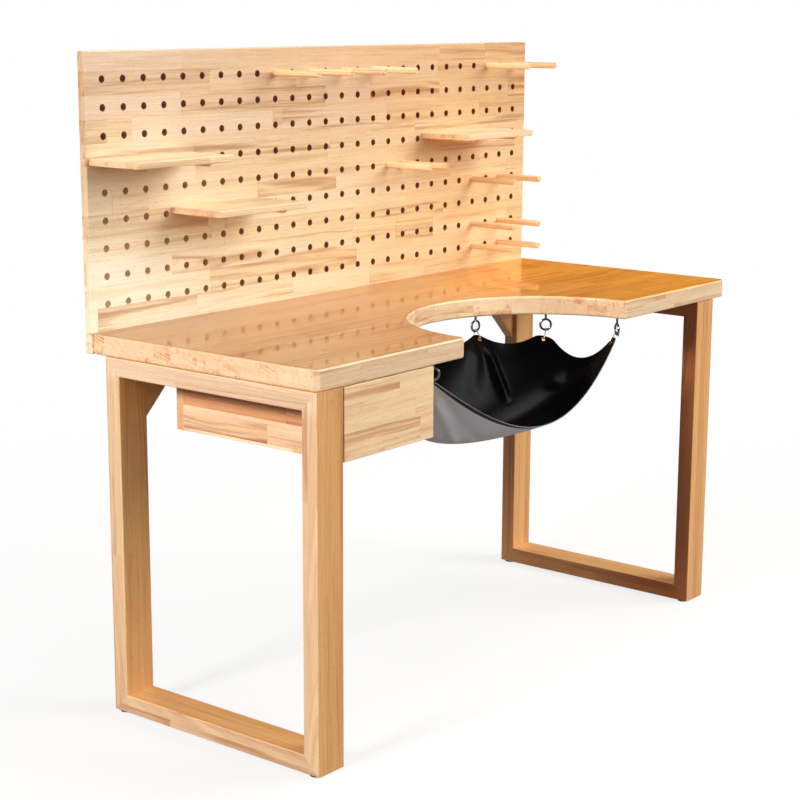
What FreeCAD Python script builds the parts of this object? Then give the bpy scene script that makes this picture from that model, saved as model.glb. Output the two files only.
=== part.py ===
import FreeCAD, Part
import math
import os

from FreeCAD import Vector

# A jeweller's bench in edge-glued solid wood: a thick desktop with a half-round cut-out for the
# worker, two mitred leg frames, a pegboard standing behind the desktop with pegs and small shelves,
# a drawer on telescopic slides, and a leather catch hung under the cut-out.
# Millimetres, +X to the worker's right, +Y away from the worker, +Z up, floor at Z = 0 and the
# origin under the centre of the bounding box.

# ---------------------------------------------------------------- driving dimensions

BENCH_WIDTH = 1500.0
BENCH_HEIGHT = 1348.0
TOP_HEIGHT = 792.0
TOP_DEPTH = 600.0
TOP_THICKNESS = 43.0
TOP_CORNER_RADIUS = 12.0
TOP_EDGE_RADIUS = 5.5
CUTOUT_RADIUS = 302.0
HORN_RADIUS = 6.0

BOARD_THICKNESS = 18.0
BOARD_EDGE_RADIUS = 2.0
HOLE_DIAMETER = 15.0
HOLE_PITCH = 56.0
HOLE_COLUMNS = 26
HOLE_ROWS = 9
FIRST_COLUMN_FROM_LEFT = 46.5
FIRST_ROW_FROM_TOP = 55.0

PEG_DIAMETER = 14.8
PEG_REACH = 128.0
PEG_TIP_CHAMFER = 1.2
# Where the loose pegs stand: (column from the left, row from the top), both from 0.
TOOL_PEG_HOLES = [
    (9, 0), (11, 0), (13, 0), (15, 0), (23, 0), (25, 0), (16, 4),
    (17, 4), (22, 5), (24, 5), (22, 7), (24, 7), (22, 8), (24, 8),
]

SHELF_LENGTH = 264.0
SHELF_DEPTH = 142.0
SHELF_THICKNESS = 14.0
SHELF_EDGE_RADIUS = 2.0
SHELF_LEFT_OVERHANG = 40.0
SHELF_PEG_SPAN = 3
# Column of each shelf's left peg, and the row of both its pegs.
SHELVES = {
    "upper_left_shelf": (0, 3),
    "lower_left_shelf": (4, 5),
    "right_shelf": (19, 3),
}

MEMBER_WIDTH = 75.0
MEMBER_THICKNESS = 38.0
MEMBER_EDGE_RADIUS = 3.0
FRAME_DEPTH = 562.0
RIGHT_FRAME_INSET = 50.0
GLIDE_DIAMETER = 25.0
GLIDE_THICKNESS = 3.0
GLIDE_FROM_EDGE = 15.0
GLIDE_FROM_END = 19.0
CORNER_BLOCK_LEG = 145.0
CORNER_BLOCK_THICKNESS = 26.0

PANEL_THICKNESS = 18.0
DRAWER_FRONT_WIDTH = 270.5
DRAWER_FRONT_HEIGHT = 143.2
DRAWER_FRONT_EDGE_RADIUS = 1.5
DRAWER_TOP_GAP = 1.2
DRAWER_LEG_GAP = 2.0
CASE_FRONT_GAP = 0.5
CASE_DEPTH = 440.0
FINGER_HOLD = 20.0
BOX_WALL = 12.0
BOX_HEIGHT = 105.0
BOX_REAR_GAP = 8.0
BOX_BOTTOM_THICKNESS = 6.0
BOX_BOTTOM_RISE = 6.0
GROOVE_DEPTH = 5.0
GROOVE_PLAY = 0.1

SLIDE_GAP = 12.7
SLIDE_WALL = 1.2
SLIDE_LENGTH = 395.0
OUTER_SLIDE_HEIGHT = 35.0
OUTER_SLIDE_DEPTH = 9.7
OUTER_SLIDE_LIP = 3.5
INNER_SLIDE_HEIGHT = 20.0
INNER_SLIDE_DEPTH = 9.0

LEATHER_THICKNESS = 2.0
EYELET_INSET = 16.0
FRONT_SAG = 172.0
FRONT_LEAN = -0.36
LEFT_SAG = 15.0
LEFT_LEAN = -0.7
LEFT_BULGE = 112.0
LEFT_BULGE_LEAN = 0.85
BACK_SAG = 30.0
RIGHT_SAG = 72.0
# The belly hangs down and to the left of the surface that the four rims alone would span.
BELLY_SHIFT = Vector(-86, 0, -77)
BELLY_TOWARDS_LEFT = 2.6
BELLY_TOWARDS_FRONT = 1.45
# Where the rims of the hanging catch would meet if its corners were not rounded.
CATCH_CORNERS = {
    "left_front": Vector(-374, -284, 711),
    "right_front": Vector(322, -287, 733),
    "right_back": Vector(257, -124, 714),
    "left_back": Vector(124, -22, 711),
}
EYELET_BORE_RADIUS = 3.2
EYELET_BARREL_RADIUS = 4.0
EYELET_FLANGE_RADIUS = 5.5
EYELET_FLANGE_THICKNESS = 0.7
EYELET_GROOVE = 2.4
EYELET_HOLE_PLAY = 0.2
LINK_WIRE_RADIUS = 1.1
LINK_BEND_RADIUS = 4.8
LINK_LENGTH = 17.0
LINK_OPENING_DEGREES = 20.0
LINK_PLAY = 0.5
EYE_WIRE_RADIUS = 2.6
EYE_RING_RADIUS = 12.2
EYE_SHANK_IN_WOOD = 18.0
PILOT_HOLE_PLAY = 0.25

# ---------------------------------------------------------------- levels and planes

RIGHT_END = BENCH_WIDTH / 2
LEFT_END = -RIGHT_END
REAR = (TOP_DEPTH + BOARD_THICKNESS) / 2
FRONT = -REAR
BOARD_FACE = REAR - BOARD_THICKNESS
UNDERSIDE = TOP_HEIGHT - TOP_THICKNESS

LEFT_FRAME_X = LEFT_END
RIGHT_FRAME_X = RIGHT_END - RIGHT_FRAME_INSET - MEMBER_WIDTH
LEFT_INNER_FACE = LEFT_FRAME_X + MEMBER_WIDTH
FRAME_REAR = FRONT + FRAME_DEPTH

CASE_LEFT = LEFT_INNER_FACE + DRAWER_LEG_GAP
CASE_RIGHT = CASE_LEFT + DRAWER_FRONT_WIDTH
FRONT_TOP = UNDERSIDE - DRAWER_TOP_GAP
FRONT_BOTTOM = FRONT_TOP - DRAWER_FRONT_HEIGHT
FRONT_BACK_FACE = FRONT + PANEL_THICKNESS
CASE_FRONT = FRONT_BACK_FACE + CASE_FRONT_GAP
CASE_BACK_INNER = FRONT + CASE_DEPTH - PANEL_THICKNESS

BOX_LEFT = CASE_LEFT + PANEL_THICKNESS + SLIDE_GAP
BOX_RIGHT = CASE_RIGHT - PANEL_THICKNESS - SLIDE_GAP
BOX_BOTTOM = FRONT_BOTTOM + FINGER_HOLD
BOX_TOP = BOX_BOTTOM + BOX_HEIGHT
BOX_REAR = CASE_BACK_INNER - BOX_REAR_GAP
BOTTOM_PANEL_Z = BOX_BOTTOM + BOX_BOTTOM_RISE
SLIDE_CENTRE_Z = (BOX_BOTTOM + BOX_TOP) / 2

EYELET_FACE = EYELET_GROOVE / 2 + EYELET_FLANGE_THICKNESS
LINK_INNER_RADIUS = LINK_BEND_RADIUS - LINK_WIRE_RADIUS
# The pulled link bears on the rim of the eyelet's bore at one end and on the eye's wire at the other.
LINK_TURN = EYELET_BORE_RADIUS + math.sqrt(LINK_INNER_RADIUS ** 2 - EYELET_FACE ** 2) - LINK_PLAY
EYE_FROM_UPPER_BEND = LINK_INNER_RADIUS - EYE_WIRE_RADIUS - LINK_PLAY


# ---------------------------------------------------------------- small tools for the model

MODEL_TOLERANCE = 0.01


def block(x0, x1, y0, y1, z0, z1):
    """Rectangular piece of wood between six planes."""
    return Part.makeBox(x1 - x0, y1 - y0, z1 - z0, Vector(x0, y0, z0))


def long_edges(shape, shortest):
    return [edge for edge in shape.Edges if edge.Length > shortest]


def edges_at_height(shape, height):
    """The edges that lie wholly in the horizontal plane at this height."""
    return [edge for edge in shape.Edges
            if max(abs(edge.BoundBox.ZMin - height), abs(edge.BoundBox.ZMax - height)) < MODEL_TOLERANCE]


def upright_edges(shape):
    """Straight edges that run from the bottom face to the top face."""
    return [edge for edge in shape.Edges
            if edge.BoundBox.ZLength > shape.BoundBox.ZLength - MODEL_TOLERANCE]


def hole_place(column, row):
    """Centre of a pegboard hole on the board's front face."""
    x = LEFT_END + FIRST_COLUMN_FROM_LEFT + HOLE_PITCH * column
    z = BENCH_HEIGHT - FIRST_ROW_FROM_TOP - HOLE_PITCH * row
    return Vector(x, BOARD_FACE, z)


def unit(vector):
    return vector * (1.0 / vector.Length)


def save(shape, name):
    shape.exportStep("parts/" + name + ".step")


# ---------------------------------------------------------------- the hanging catch's form

def sagging(distance, sag, lean=0.0):
    """Drop of a hanging edge at a fraction of its span; lean moves the lowest point along it."""
    leaned = distance + lean * distance * (1 - distance)
    return 4 * sag * leaned * (1 - leaned)


def skewed(fraction, power):
    """A fraction of a span with its middle moved towards the start."""
    return 1 - (1 - fraction) ** power


def catch_point(across, back):
    """Point of the catch: across runs left to right, back runs from the front rim to the back."""
    left_front = CATCH_CORNERS["left_front"]
    right_front = CATCH_CORNERS["right_front"]
    right_back = CATCH_CORNERS["right_back"]
    left_back = CATCH_CORNERS["left_back"]
    down = Vector(0, 0, -1)
    left_chord = left_back - left_front
    outward = unit(Vector(-left_chord.y, left_chord.x, 0))

    front_chord = left_front + (right_front - left_front) * across
    back_chord = left_back + (right_back - left_back) * across
    front_rim = front_chord + down * sagging(across, FRONT_SAG, FRONT_LEAN)
    back_rim = back_chord + down * sagging(across, BACK_SAG)
    left_rim = (left_front + left_chord * back + down * sagging(back, LEFT_SAG, LEFT_LEAN)
                + outward * sagging(back, LEFT_BULGE, LEFT_BULGE_LEAN))
    right_rim = right_front + (right_back - right_front) * back + down * sagging(back, RIGHT_SAG)
    belly = (sagging(skewed(across, BELLY_TOWARDS_LEFT), 1.0)
             * sagging(skewed(back, BELLY_TOWARDS_FRONT), 1.0))
    return (front_rim * (1 - back) + back_rim * back + left_rim * (1 - across) + right_rim * across
            - front_chord * (1 - back) - back_chord * back + BELLY_SHIFT * belly)


def catch_corner(name):
    """Eyelet centre, the sheet's normal there and the direction out of the corner along the sheet."""
    across = 0.0 if name.startswith("left") else 1.0
    back = 0.0 if name.endswith("front") else 1.0
    step = 0.001
    inward_across = step if across == 0.0 else -step
    inward_back = step if back == 0.0 else -step
    corner = CATCH_CORNERS[name]
    along_rim = catch_point(across + inward_across, back) - corner
    along_side = catch_point(across, back + inward_back) - corner
    inset = EYELET_INSET / math.sin(along_rim.getAngle(along_side))
    eyelet_across = across + inward_across * inset / along_rim.Length
    eyelet_back = back + inward_back * inset / along_side.Length
    centre = catch_point(eyelet_across, eyelet_back)
    local_rim = catch_point(eyelet_across + inward_across, eyelet_back) - centre
    local_side = catch_point(eyelet_across, eyelet_back + inward_back) - centre
    normal = unit(local_rim.cross(local_side))
    if normal.z < 0:
        normal = normal * -1
    towards_corner = corner - centre
    outward = unit(towards_corner - normal * towards_corner.dot(normal))
    return centre, normal, outward


def ring_bottom(name):
    """Centre of the eye ring's lowest wire, where the link's upper bend goes round it."""
    centre, normal, outward = catch_corner(name)
    return centre + outward * (LINK_TURN + LINK_LENGTH + EYE_FROM_UPPER_BEND)


# ---------------------------------------------------------------- desktop

def desktop():
    slab = block(LEFT_END, RIGHT_END, FRONT, BOARD_FACE, UNDERSIDE, TOP_HEIGHT)
    slab = slab.makeFillet(TOP_CORNER_RADIUS, upright_edges(slab))
    cutter = Part.makeCylinder(CUTOUT_RADIUS, TOP_THICKNESS, Vector(0, FRONT, UNDERSIDE))
    slab = slab.cut(cutter)
    horns = [edge for edge in upright_edges(slab)
             if abs(edge.BoundBox.YMin - FRONT) < MODEL_TOLERANCE
             and abs(abs(edge.BoundBox.XMin) - CUTOUT_RADIUS) < MODEL_TOLERANCE]
    slab = slab.makeFillet(HORN_RADIUS, horns)
    rims = edges_at_height(slab, UNDERSIDE) + edges_at_height(slab, TOP_HEIGHT)
    slab = slab.makeFillet(TOP_EDGE_RADIUS, rims)
    for name in CATCH_CORNERS:
        place = ring_bottom(name)
        pilot = Part.makeCylinder(
            EYE_WIRE_RADIUS + PILOT_HOLE_PLAY, EYE_SHANK_IN_WOOD + PILOT_HOLE_PLAY,
            Vector(place.x, place.y, UNDERSIDE))
        slab = slab.cut(pilot)
    return slab


# ---------------------------------------------------------------- leg frames

def frame_member(left_x, outer_start, outer_end, inner_end, inner_start):
    """One mitred member: its outline in the Y-Z plane, carried across the frame's width."""
    corners = [outer_start, outer_end, inner_end, inner_start, outer_start]
    outline = Part.makePolygon([Vector(left_x, y, z) for y, z in corners])
    member = Part.Face(outline).extrude(Vector(MEMBER_WIDTH, 0, 0))
    return member.makeFillet(MEMBER_EDGE_RADIUS, long_edges(member, MEMBER_WIDTH + MODEL_TOLERANCE))


def leg_frame(side, left_x):
    """Closed upright loop of two legs and two rails, mitred at its four corners."""
    low = GLIDE_THICKNESS
    outer = [(FRONT, low), (FRAME_REAR, low), (FRAME_REAR, UNDERSIDE), (FRONT, UNDERSIDE)]
    inner = [
        (FRONT + MEMBER_THICKNESS, low + MEMBER_THICKNESS),
        (FRAME_REAR - MEMBER_THICKNESS, low + MEMBER_THICKNESS),
        (FRAME_REAR - MEMBER_THICKNESS, UNDERSIDE - MEMBER_THICKNESS),
        (FRONT + MEMBER_THICKNESS, UNDERSIDE - MEMBER_THICKNESS),
    ]
    members = ["bottom_rail", "rear_leg", "top_rail", "front_leg"]
    for index, member in enumerate(members):
        following = (index + 1) % len(members)
        piece = frame_member(left_x, outer[index], outer[following], inner[following], inner[index])
        save(piece, side + "_" + member)


def foot_glides():
    """Round pads under the ends of the two bottom rails."""
    pads = []
    for left_x in (LEFT_FRAME_X, RIGHT_FRAME_X):
        for y in (FRONT + GLIDE_FROM_END, FRAME_REAR - GLIDE_FROM_END):
            centre = Vector(left_x + GLIDE_FROM_EDGE, y, 0)
            pads.append(Part.makeCylinder(GLIDE_DIAMETER / 2, GLIDE_THICKNESS, centre))
    return Part.makeCompound(pads)


def corner_block(inner_face, inward):
    """Right-angled bracket between a rear leg and the desktop; inward is +1 or -1 along X."""
    front_y = FRAME_REAR - CORNER_BLOCK_THICKNESS
    corner = Vector(inner_face, front_y, UNDERSIDE)
    under_desktop = Vector(inner_face + inward * CORNER_BLOCK_LEG, front_y, UNDERSIDE)
    down_leg = Vector(inner_face, front_y, UNDERSIDE - CORNER_BLOCK_LEG)
    outline = Part.makePolygon([corner, under_desktop, down_leg, corner])
    bracket = Part.Face(outline).extrude(Vector(0, CORNER_BLOCK_THICKNESS, 0))
    sloping = long_edges(bracket, CORNER_BLOCK_LEG + MODEL_TOLERANCE)
    return bracket.makeFillet(MEMBER_EDGE_RADIUS, sloping)


# ---------------------------------------------------------------- pegboard, pegs and shelves

def pegboard():
    board = block(LEFT_END, RIGHT_END, BOARD_FACE, REAR, UNDERSIDE, BENCH_HEIGHT)
    board = board.makeFillet(BOARD_EDGE_RADIUS, board.Edges)
    holes = []
    for row in range(HOLE_ROWS):
        for column in range(HOLE_COLUMNS):
            mouth = hole_place(column, row)
            holes.append(Part.makeCylinder(HOLE_DIAMETER / 2, BOARD_THICKNESS, mouth, Vector(0, 1, 0)))
    return board.cut(Part.makeCompound(holes))


def peg(column, row):
    """Plain dowel pushed through the board until it is flush at the back."""
    length = PEG_REACH + BOARD_THICKNESS
    tip = hole_place(column, row) - Vector(0, PEG_REACH, 0)
    dowel = Part.makeCylinder(PEG_DIAMETER / 2, length, tip, Vector(0, 1, 0))
    tip_edge = [edge for edge in dowel.Edges if edge.BoundBox.YMax < tip.y + PEG_TIP_CHAMFER]
    return dowel.makeChamfer(PEG_TIP_CHAMFER, tip_edge)


def shelf(column, row):
    """Small shelf with two half-round grooves underneath, glued astride two pegs."""
    first = hole_place(column, row)
    left = first.x - SHELF_LEFT_OVERHANG
    board = block(left, left + SHELF_LENGTH, BOARD_FACE - SHELF_DEPTH, BOARD_FACE,
                  first.z, first.z + SHELF_THICKNESS)
    board = board.makeFillet(SHELF_EDGE_RADIUS, board.Edges)
    for peg_column in (column, column + SHELF_PEG_SPAN):
        groove_end = hole_place(peg_column, row) - Vector(0, PEG_REACH + GROOVE_PLAY, 0)
        groove = Part.makeCylinder(HOLE_DIAMETER / 2, PEG_REACH + GROOVE_PLAY, groove_end, Vector(0, 1, 0))
        board = board.cut(groove)
    return board


# ---------------------------------------------------------------- drawer, its case and slides

def drawer_case():
    """Two sides and a back screwed up under the desktop; it is open below and at the front."""
    for side, left_x in (("left", CASE_LEFT), ("right", CASE_RIGHT - PANEL_THICKNESS)):
        panel = block(left_x, left_x + PANEL_THICKNESS, CASE_FRONT, CASE_BACK_INNER,
                      FRONT_BOTTOM, UNDERSIDE)
        save(panel, "drawer_case_" + side + "_side")
    back = block(CASE_LEFT, CASE_RIGHT, CASE_BACK_INNER, CASE_BACK_INNER + PANEL_THICKNESS,
                 FRONT_BOTTOM, UNDERSIDE)
    save(back, "drawer_case_back")


def drawer():
    """Front board with a box behind it; the bottom panel sits in grooves and runs under the back."""
    inner_left = BOX_LEFT + BOX_WALL
    inner_right = BOX_RIGHT - BOX_WALL
    panel_top = BOTTOM_PANEL_Z + BOX_BOTTOM_THICKNESS
    groove_reach = GROOVE_DEPTH + GROOVE_PLAY
    groove = block(inner_left - groove_reach, inner_right + groove_reach,
                   FRONT_BACK_FACE - groove_reach, BOX_REAR,
                   BOTTOM_PANEL_Z - GROOVE_PLAY, panel_top + GROOVE_PLAY)
    front = block(CASE_LEFT, CASE_RIGHT, FRONT, FRONT_BACK_FACE, FRONT_BOTTOM, FRONT_TOP)
    front = front.makeFillet(DRAWER_FRONT_EDGE_RADIUS, front.Edges)
    left_side = block(BOX_LEFT, inner_left, FRONT_BACK_FACE, BOX_REAR, BOX_BOTTOM, BOX_TOP)
    right_side = block(inner_right, BOX_RIGHT, FRONT_BACK_FACE, BOX_REAR, BOX_BOTTOM, BOX_TOP)
    back = block(inner_left, inner_right, BOX_REAR - BOX_WALL, BOX_REAR, panel_top + GROOVE_PLAY, BOX_TOP)
    bottom = block(inner_left - GROOVE_DEPTH, inner_right + GROOVE_DEPTH,
                   FRONT_BACK_FACE - GROOVE_DEPTH, BOX_REAR, BOTTOM_PANEL_Z, panel_top)
    save(front.cut(groove), "drawer_front")
    save(left_side.cut(groove), "drawer_left_side")
    save(right_side.cut(groove), "drawer_right_side")
    save(back, "drawer_back")
    save(bottom, "drawer_bottom")


def channel(web_x, inward, height, depth, lip):
    """Rolled steel channel along Y: web at web_x, flanges turned inward, lips turned back."""
    half = height / 2
    outline = [
        (0, -half),
        (depth, -half),
        (depth, -half + SLIDE_WALL + lip),
        (depth - SLIDE_WALL, -half + SLIDE_WALL + lip),
        (depth - SLIDE_WALL, -half + SLIDE_WALL),
        (SLIDE_WALL, -half + SLIDE_WALL),
    ]
    mirrored = [(x, -z) for x, z in reversed(outline)]
    corners = [Vector(web_x + inward * x, CASE_FRONT, SLIDE_CENTRE_Z + z) for x, z in outline + mirrored]
    profile = Part.Face(Part.makePolygon(corners + corners[:1]))
    return profile.extrude(Vector(0, SLIDE_LENGTH, 0))


def drawer_slides():
    """Telescopic slides: the outer members on the case open towards the inner members on the box."""
    case_faces = {"left": (CASE_LEFT + PANEL_THICKNESS, 1), "right": (CASE_RIGHT - PANEL_THICKNESS, -1)}
    for side, (case_face, inward) in case_faces.items():
        box_face = case_face + inward * SLIDE_GAP
        outer = channel(case_face, inward, OUTER_SLIDE_HEIGHT, OUTER_SLIDE_DEPTH, OUTER_SLIDE_LIP)
        inner = channel(box_face, -inward, INNER_SLIDE_HEIGHT, INNER_SLIDE_DEPTH, 0)
        save(outer, side + "_outer_slide")
        save(inner, side + "_inner_slide")


# ---------------------------------------------------------------- leather catch and its hardware

def corner_waste(centre, normal, outward):
    """Everything past the eyelet but outside the round corner that is left about it."""
    sideways = normal.cross(outward)
    depth = 2 * EYELET_INSET
    reach = 4 * EYELET_INSET
    start = centre - normal * EYELET_INSET
    corners = [start + sideways * reach, start + sideways * reach + outward * reach,
               start - sideways * reach + outward * reach, start - sideways * reach]
    waste = Part.Face(Part.makePolygon(corners + corners[:1])).extrude(normal * depth)
    return waste.cut(Part.makeCylinder(EYELET_INSET, depth, start, normal))


def leather_catch():
    """Sheet hung from its four corners, each rounded about its eyelet and holed for it."""
    stations = 17
    fractions = [index / (stations - 1) for index in range(stations)]
    surface = Part.BSplineSurface()
    surface.interpolate([[catch_point(across, back) for back in fractions] for across in fractions])
    inside = surface.toShape().makeOffsetShape(LEATHER_THICKNESS / 2, 0.01, fill=False)
    leather = inside.Faces[0].makeOffsetShape(-LEATHER_THICKNESS, 0.01, fill=True)
    for name in CATCH_CORNERS:
        centre, normal, outward = catch_corner(name)
        start = centre - normal * EYELET_INSET
        hole_radius = EYELET_FLANGE_RADIUS + EYELET_HOLE_PLAY
        hole = Part.makeCylinder(hole_radius, 2 * EYELET_INSET, start, normal)
        leather = leather.cut(corner_waste(centre, normal, outward)).cut(hole)
    return leather


def eyelet(name):
    """Turned brass grommet: a barrel with a flange on each face of the leather."""
    centre, normal, outward = catch_corner(name)
    half_groove = EYELET_GROOVE / 2
    section = [
        (EYELET_BORE_RADIUS, -EYELET_FACE),
        (EYELET_FLANGE_RADIUS, -EYELET_FACE),
        (EYELET_FLANGE_RADIUS, -half_groove),
        (EYELET_BARREL_RADIUS, -half_groove),
        (EYELET_BARREL_RADIUS, half_groove),
        (EYELET_FLANGE_RADIUS, half_groove),
        (EYELET_FLANGE_RADIUS, EYELET_FACE),
        (EYELET_BORE_RADIUS, EYELET_FACE),
    ]
    points = [centre + outward * radius + normal * height for radius, height in section]
    return Part.Face(Part.makePolygon(points + points[:1])).revolve(centre, normal, 360)


def link(name):
    """Open brass link: one bend through the eyelet, a straight shank, one bend round the eye ring."""
    centre, normal, outward = catch_corner(name)
    lower = centre + outward * LINK_TURN
    upper = lower + outward * LINK_LENGTH
    opening = math.radians(LINK_OPENING_DEGREES)

    def on_bend(bend_centre, angle):
        return bend_centre + (normal * math.cos(angle) + outward * math.sin(angle)) * LINK_BEND_RADIUS

    eyelet_bend = Part.Arc(
        on_bend(lower, math.pi - opening), on_bend(lower, -math.pi / 2), on_bend(lower, 0))
    shank = Part.LineSegment(on_bend(lower, 0), on_bend(upper, 0))
    eye_bend = Part.Arc(
        on_bend(upper, 0), on_bend(upper, math.pi / 2), on_bend(upper, math.pi + opening))
    path = Part.Wire([eyelet_bend.toShape(), shank.toShape(), eye_bend.toShape()])
    start = path.Edges[0]
    tangent = start.tangentAt(start.FirstParameter)
    ring = Part.Wire(Part.makeCircle(LINK_WIRE_RADIUS, start.valueAt(start.FirstParameter), tangent))
    return path.makePipeShell([ring], True, True)


def screw_eye(name):
    """Steel eye: an upright ring across the link's plane, and a shank screwed into the desktop."""
    centre, normal, outward = catch_corner(name)
    bottom = ring_bottom(name)
    ring_centre = bottom + Vector(0, 0, EYE_RING_RADIUS)
    out_of_link = normal.cross(outward)
    ring_axis = unit(Vector(-out_of_link.y, out_of_link.x, 0))
    ring = Part.makeTorus(EYE_RING_RADIUS, EYE_WIRE_RADIUS, ring_centre, ring_axis)
    ring_top = ring_centre + Vector(0, 0, EYE_RING_RADIUS)
    shank_length = UNDERSIDE + EYE_SHANK_IN_WOOD - ring_top.z
    return ring.fuse(Part.makeCylinder(EYE_WIRE_RADIUS, shank_length, ring_top))


# ---------------------------------------------------------------- the whole bench

os.makedirs("parts", exist_ok=True)
save(desktop(), "desktop")
leg_frame("left", LEFT_FRAME_X)
leg_frame("right", RIGHT_FRAME_X)
save(foot_glides(), "foot_glides")
save(corner_block(LEFT_INNER_FACE, 1), "left_corner_block")
save(corner_block(RIGHT_FRAME_X, -1), "right_corner_block")
save(pegboard(), "pegboard")
for number, (column, row) in enumerate(TOOL_PEG_HOLES, start=1):
    save(peg(column, row), "tool_peg_" + str(number))
for shelf_name, (column, row) in SHELVES.items():
    save(shelf(column, row), shelf_name)
    save(peg(column, row), shelf_name + "_left_peg")
    save(peg(column + SHELF_PEG_SPAN, row), shelf_name + "_right_peg")
drawer_case()
drawer()
drawer_slides()
save(leather_catch(), "leather_catch")
save(Part.makeCompound([eyelet(name) for name in CATCH_CORNERS]), "catch_eyelets")
save(Part.makeCompound([link(name) for name in CATCH_CORNERS]), "catch_links")
save(Part.makeCompound([screw_eye(name) for name in CATCH_CORNERS]), "screw_eyes")
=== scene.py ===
import math

import bmesh
import bpy
from mathutils import Matrix, Vector


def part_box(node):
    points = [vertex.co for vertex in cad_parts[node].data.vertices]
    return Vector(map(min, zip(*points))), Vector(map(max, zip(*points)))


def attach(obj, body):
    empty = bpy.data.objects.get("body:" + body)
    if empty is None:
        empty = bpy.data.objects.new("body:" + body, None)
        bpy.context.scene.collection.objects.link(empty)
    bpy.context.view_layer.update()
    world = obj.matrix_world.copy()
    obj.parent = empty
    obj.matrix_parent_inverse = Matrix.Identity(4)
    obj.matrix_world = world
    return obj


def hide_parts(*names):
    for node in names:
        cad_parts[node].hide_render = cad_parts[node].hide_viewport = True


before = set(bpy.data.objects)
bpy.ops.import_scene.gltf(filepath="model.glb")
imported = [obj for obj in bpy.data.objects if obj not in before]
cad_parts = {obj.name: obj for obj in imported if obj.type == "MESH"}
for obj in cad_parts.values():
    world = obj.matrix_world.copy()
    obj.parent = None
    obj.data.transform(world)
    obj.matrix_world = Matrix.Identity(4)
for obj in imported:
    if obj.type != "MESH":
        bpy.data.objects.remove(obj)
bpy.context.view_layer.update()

# ---------------------------------------------------------------- camera
# A long lens stands to the left of the bench and a little above the desktop, and looks across the
# seat cut-out towards the far leg.

CAMERA_PLACE = Vector((-3.2044, -2.4670, 1.4331))
CAMERA_RIGHT = Vector((0.62561, -0.78012, 0.00434))
CAMERA_FORWARD = Vector((0.76357, 0.61118, -0.20840))
FOCAL_LENGTH = 82.861

lens = bpy.data.cameras.new("bench_camera")
lens.lens = FOCAL_LENGTH
camera = bpy.data.objects.new("bench_camera", lens)
bpy.context.scene.collection.objects.link(camera)
camera_axes = Matrix((CAMERA_RIGHT, CAMERA_RIGHT.cross(CAMERA_FORWARD), -CAMERA_FORWARD)).transposed()
camera.matrix_world = Matrix.Translation(CAMERA_PLACE) @ camera_axes.to_4x4()
bpy.context.scene.camera = camera
bpy.context.scene.view_settings.view_transform = "Standard"

# ---------------------------------------------------------------- studio
# A white sweep under the bench, with one big soft box in front on the right, a smaller one on the
# left and one overhead. The dim walls only show as the deep tone in the desktop's lacquer.

SWEEP_SIZE = 60.0
SWEEP_WHITE = 0.82
SWEEP_BOUNCE = (0.15, 0.13, 0.115, 1.0)
SWEEP_SHOWN = 0.78
SWEEP_SHINE = 0.35
SHADOW_REACH = (1.1, 2.6)
ROOM_LIGHT = 0.085
ROOM_TONE = (1.0, 0.94, 0.88, 1.0)
FRONT_FILL = 1.42
BACK_FILL = 1.0
FACING_FRONT = (-0.5, -1.0)
FACING_BACK = (0.5, 1.0)
DIM_WALL = 0.04
DIM_CEILING = 0.12
WALL_TO_CEILING = (0.25, 0.75)
BENCH_MIDDLE = Vector((0.0, 0.0, 0.75))
SOFT_BOXES = {
    "front_right_box": ((4.4, -5.6, 4.2), 4.2, 440.0, (1.0, 0.99, 0.97)),
    "left_box": ((-8.2, 0.2, 4.3), 1.8, 760.0, (1.0, 0.98, 0.97)),
    "overhead_box": ((1.6, -0.6, 5.2), 2.6, 150.0, (1.0, 0.98, 0.95)),
}


class Value:
    """A number or colour that varies over a surface, with its sums written as Python."""

    def __init__(self, finish, socket):
        self.finish = finish
        self.socket = socket

    def other(self, name):
        return Value(self.finish, self.socket.node.outputs[name])

    def maths(self, operation, *terms):
        return self.finish.node("Math", {"operation": operation}, dict(enumerate(terms)))

    def __add__(self, term):
        return self.maths("ADD", self, term)

    def __sub__(self, term):
        return self.maths("SUBTRACT", self, term)

    def __rsub__(self, term):
        return self.maths("SUBTRACT", term, self)

    def __mul__(self, term):
        return self.maths("MULTIPLY", self, term)

    def __truediv__(self, term):
        return self.maths("DIVIDE", self, term)

    def __pow__(self, term):
        return self.maths("POWER", self, term)

    __radd__ = __add__
    __rmul__ = __mul__

    def floor(self):
        return self.maths("FLOOR", self)

    def size(self):
        return self.maths("ABSOLUTE", self)

    def most(self, term):
        return self.maths("MAXIMUM", self, term)

    def rise(self, low, high):
        """0 below low, 1 above high and a soft step between them."""
        return self.finish.node(
            "MapRange", {"interpolation_type": "SMOOTHSTEP"},
            {"Value": self, "From Min": low, "From Max": high})


class Finish:
    """The nodes of one material or of the room round the bench."""

    def __init__(self, tree):
        self.tree = tree

    def node(self, kind, settings, inputs, output=0):
        made = self.tree.nodes.new("ShaderNode" + kind)
        for name, setting in settings.items():
            if name == "stops":
                ends = made.color_ramp.elements
                ends[0].position, ends[1].position = setting[0][0], setting[-1][0]
                ends[0].color, ends[1].color = setting[0][1], setting[-1][1]
                for place, colour in setting[1:-1]:
                    ends.new(place).color = colour
            else:
                setattr(made, name, setting)
        for name, term in inputs.items():
            if isinstance(term, Value):
                self.tree.links.new(term.socket, made.inputs[name])
            else:
                made.inputs[name].default_value = term
        return Value(self, made.outputs[output]) if made.outputs else None

    def blend(self, share, first, second, how="MIX"):
        """Colour between two colours."""
        return self.node("Mix", {"data_type": "RGBA", "blend_type": how},
                         {"Factor": share, 6: first, 7: second}, 2)


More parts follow.
